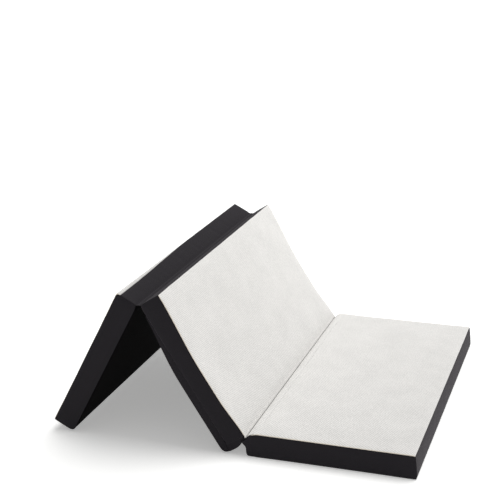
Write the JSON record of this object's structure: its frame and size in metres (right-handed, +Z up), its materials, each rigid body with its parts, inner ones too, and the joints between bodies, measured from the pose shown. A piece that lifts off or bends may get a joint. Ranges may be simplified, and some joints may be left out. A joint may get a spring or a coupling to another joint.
{
  "type": "folding memory foam mattress",
  "caption": "Folding foam mattress of equal panels with white knitted tops and black sides and bases, joined by cloth folds and shown half folded as a tent.",
  "frame": {"origin": "on the floor, under the middle of the whole object's box in the stored half-folded pose", "axes": "+X along the unfolded mattress, from the tent towards the flat panel; +Y across it, towards the side with the zips; +Z up"},
  "size_m": [1.5452, 1.532, 0.6535],
  "materials": {
    "cover_knit": "white knitted cover cloth, matt",
    "band_fabric": "black woven polyester, matt",
    "base_fabric": "black woven base cloth, matt",
    "comfort_foam": "open-cell memory foam",
    "support_foam": "open-cell polyurethane foam",
    "zip_tape": "black herringbone tape",
    "zip_nylon": "black nylon coil",
    "zip_metal": "black lacquered zinc"
  },
  "bodies": {
    "panel_1": {"panel_1_top_cover": "cover_knit", "panel_1_side_band": "band_fabric", "panel_1_base_cover": "base_fabric", "panel_1_comfort_foam": "comfort_foam", "panel_1_support_foam": "support_foam", "panel_1_zip_tape": "zip_tape", "panel_1_zip_chain": "zip_nylon", "panel_1_zip_stop_upper": "zip_metal", "panel_1_zip_stop_lower": "zip_metal", "fold_1_strip_on_panel_1": "cover_knit"},
    "panel_2": {"panel_2_top_cover": "cover_knit", "panel_2_side_band": "band_fabric", "panel_2_base_cover": "base_fabric", "panel_2_comfort_foam": "comfort_foam", "panel_2_support_foam": "support_foam", "panel_2_zip_tape": "zip_tape", "panel_2_zip_chain": "zip_nylon", "panel_2_zip_stop_upper": "zip_metal", "panel_2_zip_stop_lower": "zip_metal", "fold_1_strip_on_panel_2": "cover_knit", "fold_2_strip_on_panel_2": "base_fabric"},
    "panel_3": {"panel_3_top_cover": "cover_knit", "panel_3_side_band": "band_fabric", "panel_3_base_cover": "base_fabric", "panel_3_comfort_foam": "comfort_foam", "panel_3_support_foam": "support_foam", "panel_3_zip_tape": "zip_tape", "panel_3_zip_chain": "zip_nylon", "panel_3_zip_stop_upper": "zip_metal", "panel_3_zip_stop_lower": "zip_metal", "fold_2_strip_on_panel_3": "base_fabric"},
    "zip_slider_1": {"panel_1_zip_slider": "zip_metal"},
    "zip_pull_1": {"panel_1_zip_pull": "zip_metal"},
    "zip_slider_2": {"panel_2_zip_slider": "zip_metal"},
    "zip_pull_2": {"panel_2_zip_pull": "zip_metal"},
    "zip_slider_3": {"panel_3_zip_slider": "zip_metal"},
    "zip_pull_3": {"panel_3_zip_pull": "zip_metal"}
  },
  "joints": [
    {"name": "fold_1", "type": "hinge", "parent": "panel_1", "child": "panel_2", "pos_m": [0.07863, -0.004, 0.104], "axis": [0, 1, 0], "range_deg": [-56.8, 123.2]},
    {"name": "fold_2", "type": "hinge", "parent": "panel_2", "child": "panel_3", "pos_m": [-0.37146, -0.004, 0.59822], "axis": [0, 1, 0], "range_deg": [-60.46, 119.54]},
    {"name": "zip_1_run", "type": "slide", "parent": "panel_1", "child": "zip_slider_1", "axis": [-1, 0, 0], "range_m": [0, 0.528]},
    {"name": "zip_1_pull_flip", "type": "hinge", "parent": "zip_slider_1", "child": "zip_pull_1", "pos_m": [0.70063, 0.7628, 0.0501], "axis": [0, 0, 1], "range_deg": [0, 175]},
    {"name": "zip_2_run", "type": "slide", "parent": "panel_2", "child": "zip_slider_2", "axis": [-0.5476, 0, 0.8368], "range_m": [0, 0.528]},
    {"name": "zip_2_pull_flip", "type": "hinge", "parent": "zip_slider_2", "child": "zip_pull_2", "pos_m": [0.00177, 0.7628, 0.12302], "axis": [0.8368, 0, 0.5476], "range_deg": [0, 175]},
    {"name": "zip_3_run", "type": "slide", "parent": "panel_3", "child": "zip_slider_3", "axis": [0.458, 0, 0.8889], "range_m": [0, 0.528]},
    {"name": "zip_3_pull_flip", "type": "hinge", "parent": "zip_slider_3", "child": "zip_pull_3", "pos_m": [-0.69351, 0.7628, 0.08695], "axis": [0.8889, 0, -0.458], "range_deg": [0, 175]}
  ]
}
